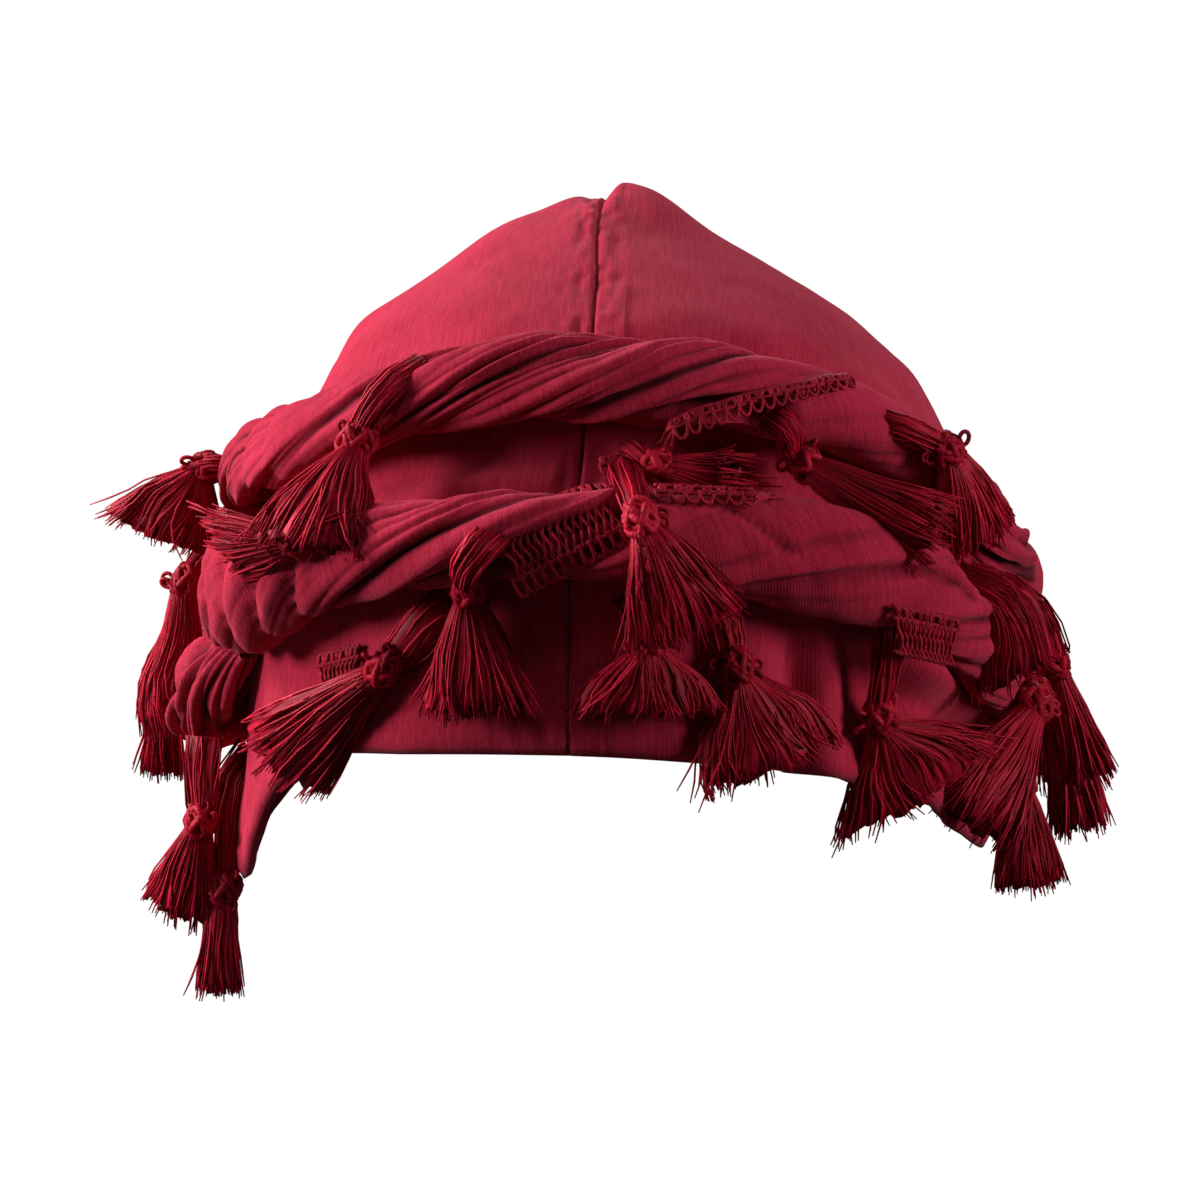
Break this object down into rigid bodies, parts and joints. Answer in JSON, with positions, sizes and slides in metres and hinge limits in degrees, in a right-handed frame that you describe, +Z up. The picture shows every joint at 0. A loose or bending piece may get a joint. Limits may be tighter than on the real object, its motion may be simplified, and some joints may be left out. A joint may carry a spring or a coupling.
{
  "type": "tasselled turban durag",
  "caption": "Pre-tied durag in stretch jersey: a seamed pointed cap wound with twisted wraps, crocheted lace edging and a knotted tassel fringe, in its worn form.",
  "frame": {"origin": "Middle of the head opening, level with the hem at the forehead", "axes": "+Z up to the peak of the cap, -Y out of the front (the forehead), +X to the right of someone who looks at the front. The head goes in from below, along +Z."},
  "size_m": [0.2278, 0.2344, 0.1766],
  "materials": {
    "jersey": "matte burgundy stretch jersey with a soft sheen",
    "crochet_lace": "matte crocheted cotton edging",
    "tassel_yarn": "silky rayon yarn"
  },
  "bodies": {
    "root": {"cap_left_panel": "jersey", "cap_right_panel": "jersey", "upper_wrap": "jersey", "lower_wrap": "jersey", "nape_roll": "jersey", "lace_upper": "crochet_lace", "lace_lower": "crochet_lace", "lace_middle": "crochet_lace", "lace_right": "crochet_lace", "lace_left": "crochet_lace", "tassel_01": "tassel_yarn", "tassel_02": "tassel_yarn", "tassel_03": "tassel_yarn", "tassel_04": "tassel_yarn", "tassel_05": "tassel_yarn", "tassel_06": "tassel_yarn", "tassel_07": "tassel_yarn", "tassel_08": "tassel_yarn", "tassel_09": "tassel_yarn", "tassel_10": "tassel_yarn", "tassel_11": "tassel_yarn", "tassel_12": "tassel_yarn", "tassel_13": "tassel_yarn", "tassel_14": "tassel_yarn", "tassel_15": "tassel_yarn", "tassel_16": "tassel_yarn", "tassel_17": "tassel_yarn", "tassel_18": "tassel_yarn", "tassel_19": "tassel_yarn", "tassel_20": "tassel_yarn", "tassel_21": "tassel_yarn", "tassel_22": "tassel_yarn", "tassel_23": "tassel_yarn", "tassel_24": "tassel_yarn", "tassel_25": "tassel_yarn", "tassel_26": "tassel_yarn", "tassel_27": "tassel_yarn"}
  },
  "joints": []
}
